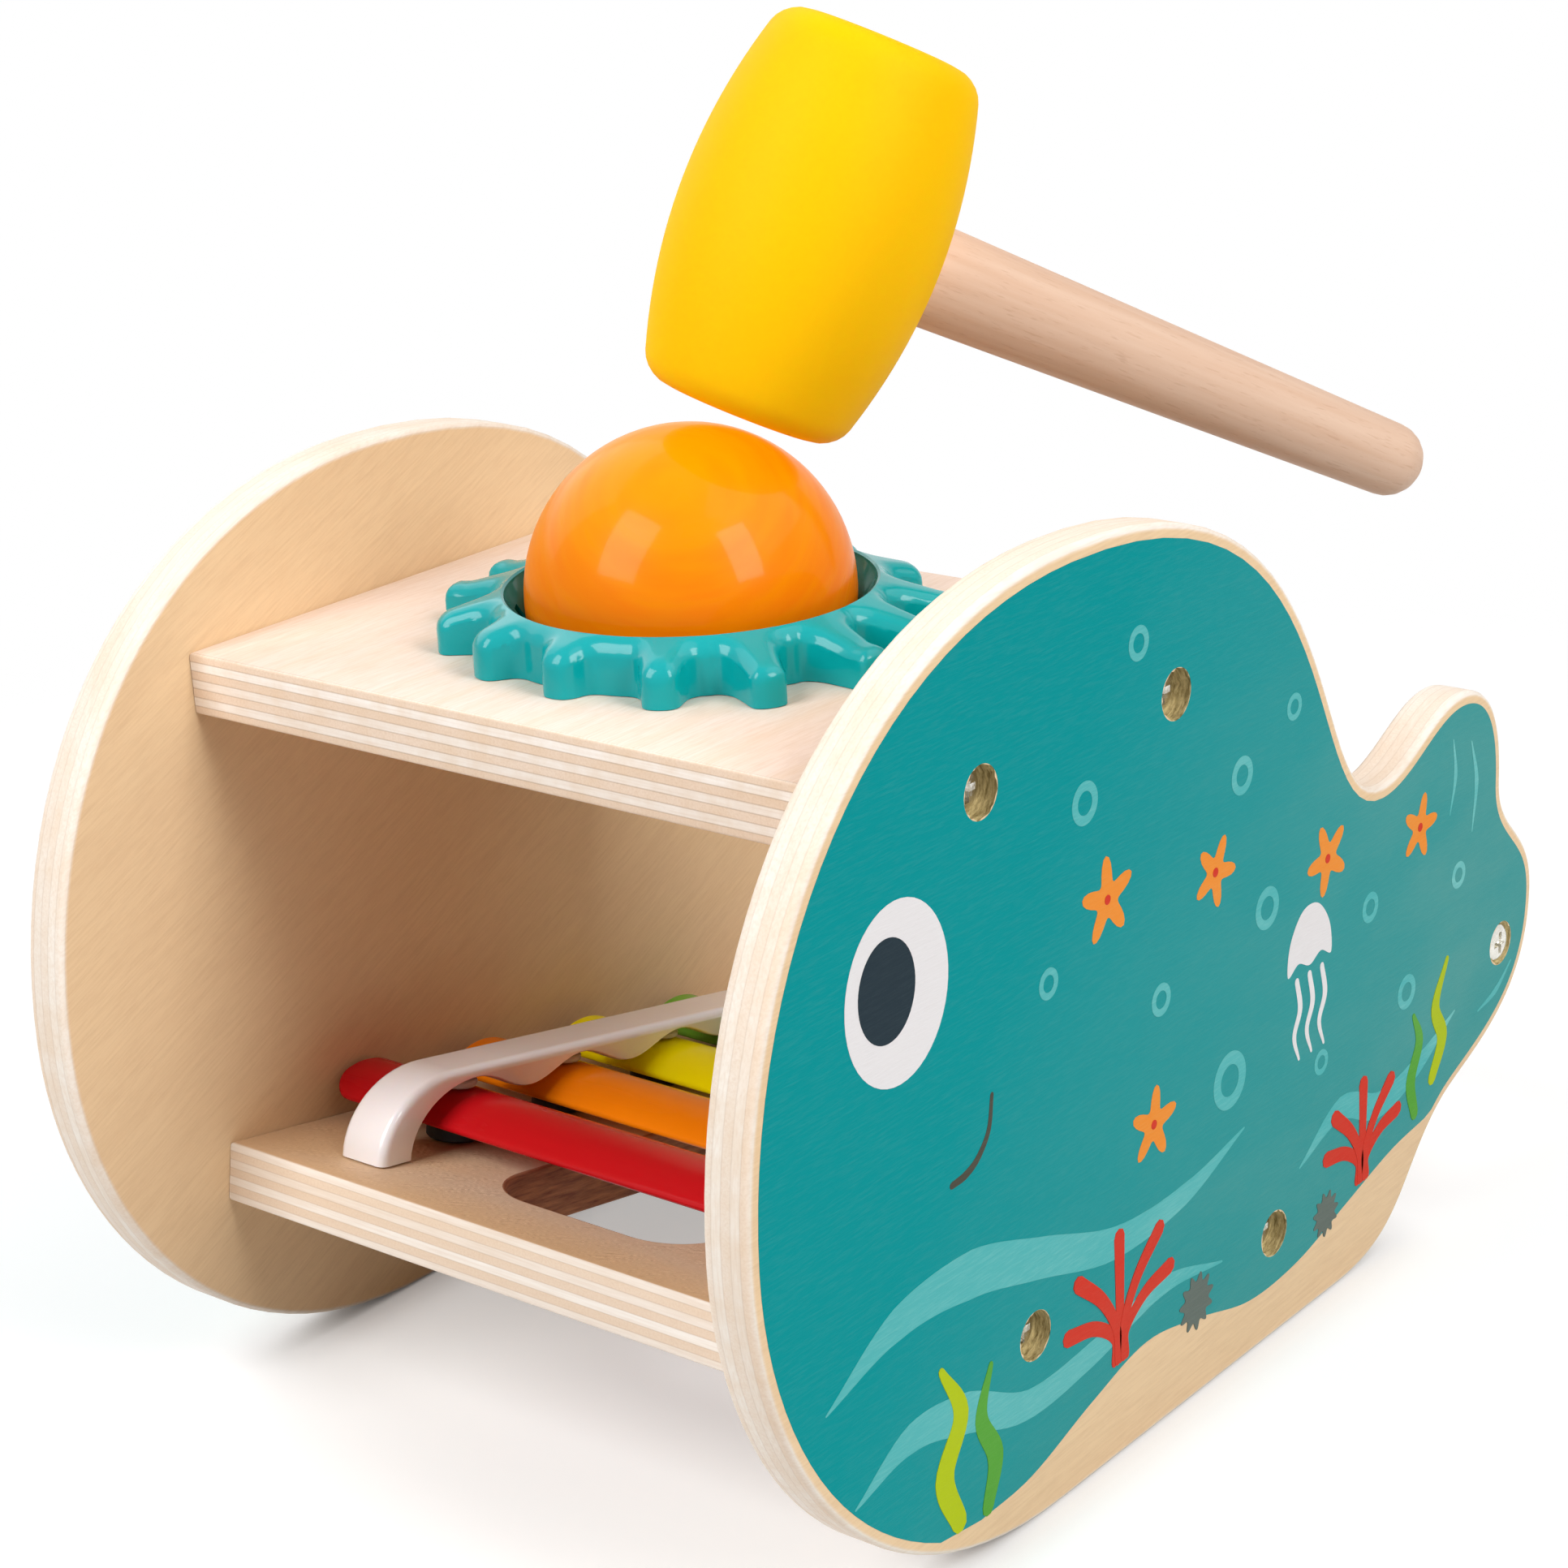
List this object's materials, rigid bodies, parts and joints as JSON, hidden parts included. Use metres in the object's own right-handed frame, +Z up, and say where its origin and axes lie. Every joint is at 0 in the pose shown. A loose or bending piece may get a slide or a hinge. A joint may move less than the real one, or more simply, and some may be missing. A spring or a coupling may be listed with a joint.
{
  "type": "tap bench",
  "caption": "Whale-shaped plywood tapping bench: a mallet taps a ball through a splash ring in the top board, on to an arched-bar xylophone on the sloping board below.",
  "frame": {"origin": "on the floor, under the middle of the box around the whole part, mallet included", "axes": "+X across the bench towards the right panel, +Y from the whale's face to its tail, +Z up"},
  "size_m": [0.1286, 0.2018, 0.1955],
  "materials": {
    "plywood": "birch plywood, clear matt lacquer",
    "beech": "beech, sanded, clear matt lacquer",
    "ring_plastic": "turquoise, polished mould",
    "ball_lacquer": "orange gloss lacquer over wood",
    "mallet_plastic": "yellow, satin mould",
    "rail_plastic": "white, polished mould",
    "bar_red": "red lacquer on pressed steel",
    "bar_orange": "orange lacquer on pressed steel",
    "bar_yellow": "yellow lacquer on pressed steel",
    "bar_green": "green lacquer on pressed steel",
    "pin_plastic": "pale grey moulding",
    "pad_rubber": "black rubber",
    "steel": "zinc-plated screws"
  },
  "bodies": {
    "bench": {"side_panel_left": "plywood", "side_panel_right": "plywood", "top_board": "plywood", "lower_board": "plywood", "tail_rod": "beech", "splash_ring": "ring_plastic", "rail_left": "rail_plastic", "rail_right": "rail_plastic", "bar_red": "bar_red", "bar_orange": "bar_orange", "bar_yellow": "bar_yellow", "bar_green": "bar_green", "pin_red_left": "pin_plastic", "pin_orange_left": "pin_plastic", "pin_yellow_left": "pin_plastic", "pin_green_left": "pin_plastic", "pin_red_right": "pin_plastic", "pin_orange_right": "pin_plastic", "pin_yellow_right": "pin_plastic", "pin_green_right": "pin_plastic", "pad_red_left": "pad_rubber", "pad_orange_left": "pad_rubber", "pad_yellow_left": "pad_rubber", "pad_green_left": "pad_rubber", "pad_red_right": "pad_rubber", "pad_orange_right": "pad_rubber", "pad_yellow_right": "pad_rubber", "pad_green_right": "pad_rubber", "screw_left_top_front": "steel", "screw_left_top_back": "steel", "screw_left_low_front": "steel", "screw_left_low_back": "steel", "screw_left_tail": "steel", "screw_right_top_front": "steel", "screw_right_top_back": "steel", "screw_right_low_front": "steel", "screw_right_low_back": "steel", "screw_right_tail": "steel", "rail_screw_left_front": "steel", "rail_screw_left_back": "steel", "rail_screw_right_front": "steel", "rail_screw_right_back": "steel"},
    "ball": {"ball": "ball_lacquer"},
    "mallet": {"mallet_head": "mallet_plastic", "mallet_handle": "beech"}
  },
  "joints": [
    {"name": "ball_drop", "type": "slide", "parent": "bench", "child": "ball", "axis": [0, 0, -1], "range_m": [0, 0.0575]},
    {"name": "mallet_swing", "type": "hinge", "parent": "bench", "child": "mallet", "pos_m": [0.0564, 0.06361, 0.12377], "axis": [-0.8545, 0.5195, 0], "range_deg": [0, 40]}
  ]
}
